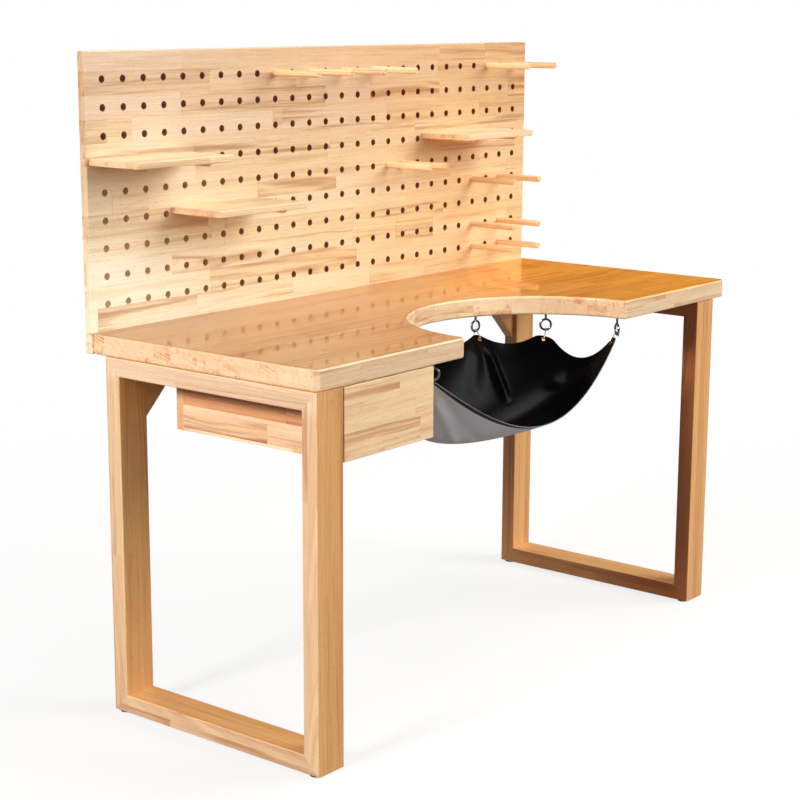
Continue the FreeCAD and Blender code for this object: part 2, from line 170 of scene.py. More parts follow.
def paint(red, green, blue):
    """Colour written on the 0 to 255 scale of a colour chart, as the shader wants it."""
    linear = [((part / 255 + 0.055) / 1.055) ** 2.4 if part > 10 else part / 255 / 12.92
              for part in (red, green, blue)]
    return (*linear, 1.0)


def new_finish(name):
    """An empty material and its nodes."""
    material = bpy.data.materials.new(name)
    material.use_nodes = True
    material.node_tree.nodes.clear()
    return material, Finish(material.node_tree)


def grey(level):
    return (level, level, level, 1.0)


WHITE = grey(1.0)

sweep_paper, paper = new_finish("sweep_paper")
straight = paper.node("LightPath", {}, {}, "Is Camera Ray")
seen = straight.most(straight.other("Is Glossy Ray")).most(straight.other("Is Transmission Ray"))
spot = paper.node("TexCoord", {}, {}, "Object")
from_bench = paper.node("VectorMath", {"operation": "LENGTH"}, {0: spot}, "Value")
clear_of_shadow = from_bench.rise(*SHADOW_REACH)
paper_colour = paper.blend(seen, SWEEP_BOUNCE, grey(SWEEP_WHITE))
matt = paper.node("BsdfDiffuse", {}, {"Color": paper_colour}, "BSDF")
brightness = straight * (1.0 - SWEEP_SHINE) + SWEEP_SHINE
shown = paper.node("Emission", {}, {"Color": WHITE, "Strength": brightness}, "Emission")
share = seen * (clear_of_shadow * (1.0 - SWEEP_SHOWN) + SWEEP_SHOWN)
laid = paper.node("MixShader", {}, {0: share, 1: matt, 2: shown}, "Shader")
paper.node("OutputMaterial", {}, {"Surface": laid})

bpy.ops.mesh.primitive_plane_add(size=SWEEP_SIZE)
sweep = bpy.context.object
sweep.name = "sweep"
sweep.data.materials.append(sweep_paper)

room = bpy.data.worlds.new("room")
bpy.context.scene.world = room
room.use_nodes = True
room.node_tree.nodes.clear()
air = Finish(room.node_tree)
direction = air.node("TexCoord", {}, {}, "Generated")
height = air.node("SeparateXYZ", {}, {"Vector": direction}, "Z")
path = air.node("LightPath", {}, {}, "Is Camera Ray")
wall = height.rise(*WALL_TO_CEILING) * (DIM_CEILING - DIM_WALL) + DIM_WALL
shiny = path.other("Is Glossy Ray").most(path.other("Is Transmission Ray"))
ahead = air.node("SeparateXYZ", {}, {"Vector": direction}, "Y")
fill = (ahead.rise(*FACING_FRONT) * (FRONT_FILL - ROOM_LIGHT)
        + ahead.rise(*FACING_BACK) * (BACK_FILL - ROOM_LIGHT) + ROOM_LIGHT)
strength = path + shiny * wall + (1.0 - path.most(shiny)) * fill
tone = air.blend(path.most(shiny), ROOM_TONE, WHITE)
glow = air.node("Background", {}, {"Color": tone, "Strength": strength}, "Background")
air.node("OutputWorld", {}, {"Surface": glow})

for name, (place, size, power, colour) in SOFT_BOXES.items():
    lamp = bpy.data.lights.new(name, "AREA")
    lamp.shape = "SQUARE"
    lamp.size = size
    lamp.energy = power
    lamp.color = colour
    holder = bpy.data.objects.new(name, lamp)
    bpy.context.scene.collection.objects.link(holder)
    holder.location = place
    holder.rotation_euler = (BENCH_MIDDLE - Vector(place)).to_track_quat("-Z", "Y").to_euler()

# ---------------------------------------------------------------- desktop
# Slab of rubberwood: short staves finger-jointed end to end, glued edge to edge in three layers,
# planed, rounded along every edge and lacquered to a gloss.

STAVE_WIDTH = 0.047
STAVE_LENGTH = 0.36
LAYER = 0.0145
FINGER_DEPTH = 0.005
FINGER_PITCH = 0.0036
GLUE_LINE = 0.0003
LACQUER = 1.5
# How far the joints of one stave, and of one layer, are shifted against the next.
STAVE_SHIFT = 7.31
LAYER_SHIFT = (0.37, 3.7)
JOINT_JITTER = 0.85
# Where a piece's pith lies: how far it strays sideways, how it leans, and how deep it lies.
PITH_STRAY = 0.11
PITH_LEAN = 0.10
PITH_DEPTH = 0.02
PITH_DEPTH_SPREAD = 0.05
RING_WAVINESS = 0.012
RINGS = 330.0
# How fine each pattern is along the fibres and across them.
WAVES = (2.6, 16.0)
FIBRES = (9.0, 420.0)
STREAKS = (1.7, 52.0)
PORES = (110.0, 1500.0)
PORES_SHOW = (0.60, 0.72)
# How much each pattern darkens or lightens the wood.
MIDDLE_TONE = 0.40
STAVE_CONTRAST = 0.36
STREAK_CONTRAST = 0.9
HEART_CONTRAST = 0.55
FIBRE_CONTRAST = 0.50
PORE_CONTRAST = 0.24
GLUE_CONTRAST = 0.22
GLUE_TONE = 0.45
REDDER_STAVE = (1.0, 0.92, 0.86, 1.0)
GRAIN_DEPTH = 0.0006


def rubberwood(name, grain, stack, light, middle, dark, stave=STAVE_WIDTH, length=STAVE_LENGTH,
               layer=LAYER, start=0.0, gloss=0.6, roughness=0.42, coat_roughness=0.1, variety=1.0,
               tints=(), shine=0.3):
    """Glued rubberwood: grain and stack name the axes along the fibres and across the staves.

    Each tint is a colour and the spreads that it needs together: the way a face looks or a place,
    its axis, where the tint starts and where it is full.
    """
    material, wood = new_finish(name)
    place = wood.node("TexCoord", {}, {}, "Object")
    split = wood.node("SeparateXYZ", {}, {"Vector": place}, "X")
    axes = {"X": split, "Y": split.other("Y"), "Z": split.other("Z")}
    along = axes[grain]
    across = axes[stack]
    through = axes[({"X", "Y", "Z"} - {grain, stack}).pop()]

    # Staves, layers, and the finger-jointed lengths that each stave is made of.
    row = ((across + start) / stave).floor()
    row_place = (across + start) / stave - row
    ply = (through / layer + 0.5).floor()
    fingers = wood.node("Math", {"operation": "PINGPONG"}, {0: through / FINGER_PITCH, 1: 1.0})
    jointed = wood.node("CombineXYZ", {}, {
        0: (along + fingers * FINGER_DEPTH) / length + ply * LAYER_SHIFT[0],
        1: row * STAVE_SHIFT + ply * LAYER_SHIFT[1], 2: 0.0})
    cells = {"Vector": jointed, "Scale": 1.0, "Randomness": JOINT_JITTER}
    piece = wood.node("TexVoronoi", {"voronoi_dimensions": "2D", "feature": "F1"}, cells, "Color")
    joint_gap = wood.node(
        "TexVoronoi", {"voronoi_dimensions": "2D", "feature": "DISTANCE_TO_EDGE"}, cells, "Distance")
    luck = wood.node("SeparateColor", {}, {"Color": piece}, "Red")
    luck_two = luck.other("Green")
    luck_three = luck.other("Blue")

    def drawn_out(pattern, detail, grit, slide, sideways=0.0):
        """Noise drawn out along the fibres, shifted so that no two pieces are alike."""
        lengthways, crossways = pattern
        spot = wood.node("CombineXYZ", {}, {
            0: along * lengthways + slide, 1: across * crossways + sideways, 2: through * crossways})
        return wood.node("TexNoise", {}, {
            "Vector": spot, "Scale": 1.0, "Detail": detail, "Roughness": grit})

    # Growth rings about a pith that lies beside the piece and leans a little, blurred and wavy.
    wander = drawn_out(WAVES, 2.0, 0.5, luck * 40.0, luck_two * 30.0) - 0.5
    pith_side = across - row * stave + (luck - 0.5) * PITH_STRAY + along * (luck_two - 0.5) * PITH_LEAN
    pith_deep = through + PITH_DEPTH + luck_three * PITH_DEPTH_SPREAD
    radius = (pith_side * pith_side + pith_deep * pith_deep) ** 0.5 + wander * RING_WAVINESS
    ring = wood.node("TexNoise", {"noise_dimensions": "1D"}, {
        "W": radius * RINGS + luck_two * 50.0, "Scale": 1.0, "Detail": 1.5, "Roughness": 0.6})

    # Fibres, brown streaks of heartwood and the fine open pores.
    fibres = drawn_out(FIBRES, 3.0, 0.65, luck_three * 90.0)
    streaks = drawn_out(STREAKS, 4.0, 0.72, luck * 70.0, luck_three * 9.0)
    pores = drawn_out(PORES, 1.0, 0.5, luck * 60.0).rise(*PORES_SHOW)

    heart = streaks.rise(0.48, 0.66) * (luck_three.rise(0.55, 0.9) * 0.9 + 0.08)
    figure = (ring - 0.5) * (luck_two.rise(0.3, 0.7) * 0.9 + 0.35)
    body = ((luck - 0.5) * STAVE_CONTRAST * variety + MIDDLE_TONE + figure
            + (streaks - 0.5) * STREAK_CONTRAST)
    shades = [(0.05, light), (0.50, middle), (1.0, dark)]
    colour = wood.node("ValToRGB", {"stops": shades}, {"Fac": body}, "Color")
    colour = wood.blend(heart * HEART_CONTRAST * variety, colour, dark)
    warm = wood.blend(luck_two.rise(0.6, 1.0) * 0.35 * variety, WHITE, REDDER_STAVE)
    colour = wood.blend(1.0, colour, warm, "MULTIPLY")
    for tint, *spreads in tints:
        share = 1.0
        for source, axis, begins, full in spreads:
            reading = wood.node("SeparateXYZ", {}, {"Vector": place.other(source)}, axis)
            share = reading.rise(begins, full) * share
        colour = wood.blend(1.0, colour, wood.blend(share, WHITE, tint), "MULTIPLY")
    fine = (fibres - 0.5) * FIBRE_CONTRAST + 1.0 - pores * PORE_CONTRAST
    colour = wood.node("HueSaturation", {}, {"Value": fine, "Color": colour}, "Color")

    # Glue lines between staves and at the joints.
    seam = 1.0 - (0.5 - (row_place - 0.5).size()).rise(0.0, GLUE_LINE / stave)
    joint = 1.0 - joint_gap.rise(0.0, 1.6 * GLUE_LINE / length)
    glued = seam.most(joint) * GLUE_CONTRAST
    colour = wood.blend(glued, colour, tuple(part * GLUE_TONE for part in dark[:3]) + (1.0,))

    relief = wood.node("Bump", {}, {
        "Height": fibres * 0.5 - pores - glued, "Strength": 0.06, "Distance": GRAIN_DEPTH}, "Normal")
    rough = roughness + pores * 0.12 + (fibres - 0.5) * 0.08
    face = wood.node("BsdfPrincipled", {}, {
        "Base Color": colour, "Roughness": rough, "Normal": relief, "Specular IOR Level": shine,
        "Coat Weight": gloss, "Coat Roughness": coat_roughness, "Coat IOR": LACQUER}, "BSDF")
    wood.node("OutputMaterial", {}, {"Surface": face})
    return material


def dress(names, material):
    """Give each of these parts its finish."""
    for name in names:
        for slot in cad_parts[name].material_slots:
            slot.material = material


DESKTOP_LIGHT = paint(254, 230, 194)
DESKTOP_MIDDLE = paint(246, 212, 168)
DESKTOP_DARK = paint(206, 146, 98)
# The top faces are tinted a deeper orange, most towards the right, as a painted dark reflection of the dim
# room in the lacquer.
TOP_PAINTED_DARK_REFLECTION = (0.46, 0.305, 0.16, 1.0)
TOP_RIGHT_PAINTED_DARK_REFLECTION = (1.76, 1.46, 0.48, 1.0)
END_GRAIN = (0.94, 0.84, 0.80, 1.0)
LOOKS_UP = ("Normal", "Z", 0.5, 0.95)
LOOKS_LEFT = ("Normal", "X", -0.4, -0.9)
LOOKS_FRONT = ("Normal", "Y", -0.4, -0.9)
TO_THE_RIGHT = ("Object", "X", -0.2, 0.6)
HALF_LENGTH = 0.75
HALF_DEPTH = 0.309

desktop_wood = rubberwood(
    "desktop_wood", "X", "Y", DESKTOP_LIGHT, DESKTOP_MIDDLE, DESKTOP_DARK, start=HALF_DEPTH, gloss=0.42,
    roughness=0.35, coat_roughness=0.035, shine=0.2, variety=1.3,
    tints=[(TOP_PAINTED_DARK_REFLECTION, LOOKS_UP), (TOP_RIGHT_PAINTED_DARK_REFLECTION, LOOKS_UP, TO_THE_RIGHT), (END_GRAIN, LOOKS_LEFT)])
dress(["desktop"], desktop_wood)

# ---------------------------------------------------------------- leg frames
# Two closed loops of 75 by 38 mm rubberwood, mitred and glued at their corners, each member glued
# up from long strips that run with it. A bracket of the same wood stiffens each rear leg.

FRAME_LIGHT = paint(250, 218, 174)
FRAME_MIDDLE = paint(238, 196, 152)
FRAME_DARK = paint(190, 128, 84)
# Painted light and shade on the frames: front and top faces are darkened to brown as painted shade, the
# right frame's inner faces are darkened further as painted shade under the desktop, most in its front
# half, and the left top rail's outer face is made paler as painted light.
PAINTED_SHADE_BROWN = (0.86, 0.68, 0.44, 1.0)
PAINTED_SHADE_UNDER_DESK = (0.62, 0.40, 0.26, 1.0)
PAINTED_SHADE_FRONT_INNER = (0.74, 0.50, 0.34, 1.0)
PAINTED_LIGHT_OUTER_RAIL = (1.10, 1.20, 1.40, 1.0)
RIGHT_FRAME = ("Object", "X", 0.3, 0.6)
LEFT_FRAME = ("Object", "X", -0.3, -0.6)
FRONT_HALF = ("Object", "Y", 0.0, -0.2)
TOP_RAIL = ("Object", "Z", 0.69, 0.72)
FRAME_PAINTED_LIGHT_AND_SHADE = [
    (PAINTED_SHADE_BROWN, LOOKS_FRONT),
    (PAINTED_SHADE_BROWN, LOOKS_UP),
    (PAINTED_SHADE_UNDER_DESK, LOOKS_LEFT, RIGHT_FRAME),
    (PAINTED_SHADE_FRONT_INNER, LOOKS_LEFT, RIGHT_FRAME, FRONT_HALF),
    (PAINTED_LIGHT_OUTER_RAIL, LOOKS_LEFT, LEFT_FRAME, TOP_RAIL),
]
FRAME_STRIP = 0.025
FRAME_STRIP_LENGTH = 0.9
FRAME_THICKNESS = 0.038
BRACKET_THICKNESS = 0.026

leg_wood, rail_wood = [
    rubberwood(name, grain, "X", FRAME_LIGHT, FRAME_MIDDLE, FRAME_DARK, stave=FRAME_STRIP,
               length=FRAME_STRIP_LENGTH, layer=FRAME_THICKNESS, start=HALF_LENGTH, gloss=0.25,
               coat_roughness=0.16, tints=FRAME_PAINTED_LIGHT_AND_SHADE)
    for name, grain in (("leg_wood", "Z"), ("rail_wood", "Y"))]
bracket_wood = rubberwood(
    "bracket_wood", "X", "Z", FRAME_LIGHT, FRAME_MIDDLE, FRAME_DARK, layer=BRACKET_THICKNESS,
    start=0.021, gloss=0.1, coat_roughness=0.2, tints=FRAME_PAINTED_LIGHT_AND_SHADE)
for side in ("left", "right"):
    dress([side + "_front_leg", side + "_rear_leg"], leg_wood)
    dress([side + "_top_rail", side + "_bottom_rail"], rail_wood)
    dress([side + "_corner_block"], bracket_wood)

# ---------------------------------------------------------------- glides
# Four round pads of black nylon, one nailed under each end of the two bottom rails, so that the
# bench slides without marking the floor.

glide_nylon, nylon = new_finish("glide_nylon")
scuffs = nylon.node("TexNoise", {}, {
    "Vector": nylon.node("TexCoord", {}, {}, "Object"), "Scale": 420.0, "Detail": 3.0})
pad_face = nylon.node("BsdfPrincipled", {}, {
    "Base Color": nylon.blend(scuffs, paint(34, 33, 32), paint(58, 56, 54)),
    "Roughness": scuffs * 0.25 + 0.45}, "BSDF")
nylon.node("OutputMaterial", {}, {"Surface": pad_face})
dress(["foot_glides"], glide_nylon)

# ---------------------------------------------------------------- pegboard
# Board of the same staves in a single layer, 18 mm thick and bored right through on a 56 mm grid.
# It stands against the desktop's rear edge and has a paler and less even lacquer than the desktop.

BOARD_LIGHT = paint(253, 240, 212)
BOARD_MIDDLE = paint(246, 226, 186)
BOARD_DARK = paint(190, 142, 98)
# Painted light on the board: its colour turns warmer from left to right so that the left end stays paler
# as a painted reflection, the lower left is made paler still as a painted sheen, and the upper part is
# darkened as painted shade.
BOARD_WARMER_PAST_SHEEN = (0.93, 0.80, 0.62, 1.0)
BOARD_PAINTED_SHADE_UP = (0.84, 0.72, 0.70, 1.0)
BOARD_END = (0.84, 0.72, 0.62, 1.0)
BOARD_PAINTED_SHEEN = (1.16, 1.28, 1.42, 1.0)
HOLE_WALL_PAINTED_LIT = (1.0, 0.90, 0.92, 1.0)
HOLE_WALL_PAINTED_SHADE = (0.52, 0.34, 0.26, 1.0)
WHOLE_BOARD_TO_RIGHT = ("Object", "X", -0.75, 0.55)
UPWARDS = ("Object", "Z", 0.9, 1.3)
BOARD_LEFT = ("Object", "X", -0.2, -0.7)
BOARD_LOW = ("Object", "Z", 1.1, 0.85)
HOLES_FROM_EDGE = 0.004
WALL_NOT_FACE = (0.4, 0.8)
HOLE_SHADE_RIGHT = (-0.75, -0.1)
HOLE_SHADE_UP = (1.0, 1.2)
ONE_LAYER = 0.6

pegboard_wood = rubberwood(
    "pegboard_wood", "X", "Z", BOARD_LIGHT, BOARD_MIDDLE, BOARD_DARK, length=0.42, layer=ONE_LAYER,
    start=0.008, gloss=0.5, coat_roughness=0.22, variety=1.3,
    tints=[(BOARD_WARMER_PAST_SHEEN, WHOLE_BOARD_TO_RIGHT), (BOARD_PAINTED_SHADE_UP, UPWARDS),
           (BOARD_PAINTED_SHEEN, BOARD_LEFT, BOARD_LOW), (BOARD_END, LOOKS_LEFT)])
dress(["pegboard"], pegboard_wood)

# The bored walls are rough end grain that the lacquer has soaked into. Over that their colour carries
# painted shade, darker towards the right and the top of the board, and at the lower left they keep nearly
# the board's colour as painted light.
bored = Finish(pegboard_wood.node_tree)
shader = pegboard_wood.node_tree.nodes["Principled BSDF"]
unbored_colour = Value(bored, shader.inputs["Base Color"].links[0].from_socket)
board_place = bored.node("TexCoord", {}, {}, "Object")
looks = bored.node("SeparateXYZ", {}, {"Vector": board_place.other("Normal")}, "Y").size()
side = bored.node("SeparateXYZ", {}, {"Vector": board_place}, "X")
low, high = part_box("pegboard")
inside_ends = (high.x - HOLES_FROM_EDGE - side.size()).rise(0.0, HOLES_FROM_EDGE)
inside_top = (high.z - HOLES_FROM_EDGE - side.other("Z")).rise(0.0, HOLES_FROM_EDGE)
inside_bottom = (side.other("Z") - low.z - HOLES_FROM_EDGE).rise(0.0, HOLES_FROM_EDGE)
wall_share = (1.0 - looks.rise(*WALL_NOT_FACE)) * inside_ends * inside_top * inside_bottom
hole_shade_share = side.rise(*HOLE_SHADE_RIGHT).most(side.other("Z").rise(*HOLE_SHADE_UP))
hole_wall_painted_shade = bored.blend(hole_shade_share, HOLE_WALL_PAINTED_LIT, HOLE_WALL_PAINTED_SHADE)
wall_colour = bored.blend(1.0, unbored_colour, hole_wall_painted_shade, "MULTIPLY")
bored_colour = bored.blend(wall_share, unbored_colour, wall_colour)
bored.tree.links.new(bored_colour.socket, shader.inputs["Base Color"])

# ---------------------------------------------------------------- pegs
# Loose dowels that push into the board's holes and carry tools. They are turned from mixed wood,
# some of it redder, and sanded, with hardly any lacquer.

HOLE_PITCH = 0.056

# One square of this size round each hole, so that every peg is of one piece of wood.
peg_wood = rubberwood(
    "peg_wood", "Y", "X", paint(250, 222, 178), paint(234, 196, 146), paint(176, 112, 70),
    stave=HOLE_PITCH, length=0.9, layer=HOLE_PITCH, start=0.0285, gloss=0.15, roughness=0.5,
    coat_roughness=0.3)
dress([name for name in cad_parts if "peg" in name and name != "pegboard"], peg_wood)

# ---------------------------------------------------------------- shelves
# Three small boards of a few staves each. Each one is glued astride two long pegs and lifts out
# with them.

# The shelves' top faces and front faces are darkened as painted shade; their end faces are darker end
# grain.
SHELF_TOP_PAINTED_SHADE = (0.80, 0.72, 0.62, 1.0)
SHELF_FRONT_PAINTED_SHADE = (0.96, 0.84, 0.76, 1.0)
SHELF_END = (0.94, 0.72, 0.62, 1.0)

shelf_wood = rubberwood(
    "shelf_wood", "X", "Y", BOARD_LIGHT, BOARD_MIDDLE, BOARD_DARK, length=0.21, layer=ONE_LAYER,
    gloss=0.4, coat_roughness=0.2, variety=1.3,
    tints=[(SHELF_TOP_PAINTED_SHADE, LOOKS_UP), (SHELF_FRONT_PAINTED_SHADE, LOOKS_FRONT), (SHELF_END, LOOKS_LEFT)])
dress(["upper_left_shelf", "lower_left_shelf", "right_shelf"], shelf_wood)

# ---------------------------------------------------------------- drawer
# Front board and a case that is open below, of lacquered staves in a single layer. The box behind
# the front is of plain wood and bare.

CASE_HEART = (0.84, 0.60, 0.45, 1.0)
PANEL_END = (0.80, 0.62, 0.50, 1.0)
CASE_UPPER_STAVE = ("Object", "Z", 0.6575, 0.6585)
CASE_STAVE_LENGTH = 0.30

drawer_wood = rubberwood(
    "drawer_wood", "X", "Z", paint(254, 230, 190), paint(248, 212, 166), paint(196, 128, 82),
    length=CASE_STAVE_LENGTH, layer=ONE_LAYER, gloss=0.4, coat_roughness=0.2,
    tints=[(PANEL_END, LOOKS_LEFT)])
case_wood = rubberwood(
    "case_wood", "Y", "Z", paint(252, 224, 190), paint(242, 200, 158), paint(176, 104, 62),
    length=CASE_STAVE_LENGTH, layer=ONE_LAYER, gloss=0.4, coat_roughness=0.2,
    tints=[(CASE_HEART, LOOKS_LEFT, CASE_UPPER_STAVE)])
box_wood = rubberwood(
    "box_wood", "Y", "Z", paint(250, 218, 170), paint(240, 200, 148), paint(200, 140, 92),
    length=0.5, layer=ONE_LAYER, gloss=0.0, roughness=0.6)
dress(["drawer_front", "drawer_case_back"], drawer_wood)
dress(["drawer_case_left_side", "drawer_case_right_side"], case_wood)
dress(["drawer_left_side", "drawer_right_side", "drawer_back", "drawer_bottom"], box_wood)

# ---------------------------------------------------------------- drawer slides
# Roll-formed steel channels, zinc plated: an outer one screwed to each side of the case, and an
# inner one on each side of the drawer's box.


def metal(name, low, high, roughness, grain):
    """Bare or plated metal with a fine drawn grain and small changes in its polish."""
    material, skin = new_finish(name)
    spot = skin.node("TexCoord", {}, {}, "Object")
    stretch = skin.node("Mapping", {}, {"Vector": spot, "Scale": grain})
    lines = skin.node("TexNoise", {}, {"Vector": stretch, "Scale": 1.0, "Detail": 3.0})
    face = skin.node("BsdfPrincipled", {}, {
        "Base Color": skin.blend(lines, low, high), "Metallic": 1.0,
        "Roughness": (lines - 0.5) * 0.2 + roughness}, "BSDF")
    skin.node("OutputMaterial", {}, {"Surface": face})
    return material


slide_steel = metal("slide_steel", paint(170, 172, 178), paint(214, 215, 218), 0.32, (900.0, 30.0, 900.0))
dress(["left_outer_slide", "right_outer_slide", "left_inner_slide", "right_inner_slide"], slide_steel)

# ---------------------------------------------------------------- screws
# Zinc-plated cross-head wood screws. Six hold the pegboard to the desktop's rear edge from behind,
# and three go up through each top rail into the desktop.

SCREW_HEAD = 0.0042
SCREW_SUNK = 0.0030
SCREW_PROUD = 0.0004
SCREW_EASE = 0.0003
RECESS_SPAN = 0.0046
RECESS_WIDTH = 0.0010
BOARD_SCREW_HEIGHT = 0.7705
BOARD_SCREWS = (-0.70, -0.42, -0.14, 0.14, 0.42, 0.70)
RAIL_SCREWS = (-0.22, -0.03, 0.16)
SCREW_CREASE = math.radians(35)

bpy.ops.object.select_all(action="DESELECT")
bpy.ops.mesh.primitive_cylinder_add(
    vertices=32, radius=SCREW_HEAD, depth=SCREW_SUNK, location=(0, 0, SCREW_PROUD - SCREW_SUNK / 2))
screw = bpy.context.object
ease = screw.modifiers.new("ease", "BEVEL")
ease.width = SCREW_EASE
ease.segments = 2
bpy.ops.object.modifier_apply(modifier=ease.name)
for span in ((RECESS_SPAN, RECESS_WIDTH, SCREW_SUNK), (RECESS_WIDTH, RECESS_SPAN, SCREW_SUNK)):
    bpy.ops.mesh.primitive_cube_add(size=1.0, location=(0, 0, SCREW_PROUD), scale=span)
    blade = bpy.context.object
    recess = screw.modifiers.new("recess", "BOOLEAN")
    recess.operation = "DIFFERENCE"
    recess.object = blade
    bpy.context.view_layer.objects.active = screw
    bpy.ops.object.modifier_apply(modifier=recess.name)
    bpy.data.objects.remove(blade)
bpy.ops.object.select_all(action="DESELECT")
screw.select_set(True)
bpy.ops.object.transform_apply(location=True, rotation=True, scale=True)
screw.data.materials.append(slide_steel)

back, up, down = Vector((0, 1, 0)), Vector((0, 0, 1)), Vector((0, 0, -1))
screw_places = [(Vector((x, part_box("pegboard")[1].y, BOARD_SCREW_HEIGHT)), back) for x in BOARD_SCREWS]
for rail in ("left_top_rail", "right_top_rail"):
    low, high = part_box(rail)
    screw_places += [(Vector(((low.x + high.x) / 2, y, low.z)), down) for y in RAIL_SCREWS]
for place, facing in screw_places:
    driven = screw.copy()
    driven.data = screw.data.copy()
    turn = up.rotation_difference(facing)
    driven.data.transform(Matrix.Translation(place) @ turn.to_matrix().to_4x4())
    bpy.context.scene.collection.objects.link(driven)
    driven.select_set(True)
screw.select_set(False)
bpy.context.view_layer.objects.active = driven
bpy.ops.object.join()
screws = bpy.context.object
screws.name = "wood_screws"
bpy.data.objects.remove(screw)
bpy.ops.object.shade_smooth_by_angle(angle=SCREW_CREASE)
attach(screws, "bench")

# ---------------------------------------------------------------- catch hardware
# Four steel eyes screwed up into the desktop, four brass grommets set in the leather's corners,
# and an open brass link between each pair.

eye_steel = metal("eye_steel", paint(84, 80, 78), paint(168, 164, 158), 0.18, (500.0, 500.0, 500.0))
brass = metal("brass", paint(198, 152, 84), paint(232, 192, 122), 0.24, (600.0, 600.0, 600.0))
dress(["screw_eyes"], eye_steel)
dress(["catch_eyelets", "catch_links"], brass)

# ---------------------------------------------------------------- leather catch
# One piece of black cowhide, smooth side up and grey flesh side down, hung by its four corners so
# that filings and dropped stones run to the middle. Its front rim is dyed at the cut.

CATCH_CORNERS = {
    "left_front": Vector((-0.374, -0.284, 0.711)),
    "right_front": Vector((0.322, -0.287, 0.733)),
    "right_back": Vector((0.257, -0.124, 0.714)),
    "left_back": Vector((0.124, -0.022, 0.711)),
}
FRONT_SAG = 0.172
FRONT_LEAN = -0.36
LEFT_SAG = 0.015
LEFT_LEAN = -0.7
LEFT_BULGE = 0.112
LEFT_BULGE_LEAN = 0.85
BACK_SAG = 0.030
RIGHT_SAG = 0.072
BELLY_SHIFT = Vector((-0.086, 0.0, -0.077))
BELLY_TOWARDS_LEFT = 2.6
BELLY_TOWARDS_FRONT = 1.45
LEATHER_THICKNESS = 0.002
CATCH_CELLS = (168, 128)
EYELET_INSET = 0.016
EYELET_HOLE = 0.0057
FRONT_ROUND = 0.016
BACK_ROUND = 0.030
FINE_CELLS_REACH = 0.036
CORNER_REACH = 0.060
SHORTEST_EDGE = 0.0001
SHORT_STEP = 0.001
LEATHER_CREASE = math.radians(40)
FOLD_RISE = 0.3
FOLD_FALL = 0.22
# Soft folds that fan from the eyelets: start and end of the crest, its half width and its height.
# Each one rises over the first part of its crest and falls over the last.
FOLDS = [
    (Vector((0.126, -0.040, 0.696)), Vector((0.096, -0.138, 0.562)), 0.012, 0.0088),
    (Vector((0.100, -0.042, 0.694)), Vector((0.010, -0.080, 0.575)), 0.022, 0.0055),
    (Vector((0.250, -0.128, 0.694)), Vector((0.212, -0.190, 0.575)), 0.024, 0.0055),
    (Vector((-0.350, -0.268, 0.690)), Vector((-0.105, -0.208, 0.528)), 0.010, 0.0095),
    (Vector((-0.350, -0.262, 0.690)), Vector((-0.160, -0.183, 0.528)), 0.011, -0.0085),
    (Vector((-0.340, -0.250, 0.688)), Vector((-0.215, -0.140, 0.540)), 0.011, 0.0085),
]


def sagging(distance, sag, lean=0.0):
    """Drop of a hanging edge at a fraction of its span; lean moves the lowest point along it."""
    leaned = distance + lean * distance * (1 - distance)
    return 4 * sag * leaned * (1 - leaned)


def skewed(fraction, power):
    """A fraction of a span with its middle moved towards the start."""
    return 1 - max(0.0, 1 - fraction) ** power


def catch_point(across, back):
    """Point of the catch: across runs left to right, back runs from the front rim to the back."""
    left_front, right_front, right_back, left_back = CATCH_CORNERS.values()
    down = Vector((0, 0, -1))
    left_chord = left_back - left_front
    outward = Vector((-left_chord.y, left_chord.x, 0)).normalized()
    front_chord = left_front.lerp(right_front, across)
    back_chord = left_back.lerp(right_back, across)
    front_rim = front_chord + down * sagging(across, FRONT_SAG, FRONT_LEAN)
    back_rim = back_chord + down * sagging(across, BACK_SAG)
    left_rim = (left_front + left_chord * back + down * sagging(back, LEFT_SAG, LEFT_LEAN)
                + outward * sagging(back, LEFT_BULGE, LEFT_BULGE_LEAN))
    right_rim = right_front.lerp(right_back, back) + down * sagging(back, RIGHT_SAG)
    belly = (sagging(skewed(across, BELLY_TOWARDS_LEFT), 1.0)
             * sagging(skewed(back, BELLY_TOWARDS_FRONT), 1.0))
    return (front_rim * (1 - back) + back_rim * back + left_rim * (1 - across) + right_rim * across
            - front_chord * (1 - back) - back_chord * back + BELLY_SHIFT * belly)


def fold_height(place):
    """How far the folds lift the sheet at this place."""
    lift = 0.0
    for start, end, width, height in FOLDS:
        crest = end - start
        share = min(1.0, max(0.0, (place - start).dot(crest) / crest.length_squared))
        away = (place - start - crest * share).length
        fade = min(1.0, share / FOLD_RISE) * min(1.0, (1.0 - share) / FOLD_FALL)
        lift += height * fade * fade * (3 - 2 * fade) * math.exp(-(away / width) ** 2)
    return lift


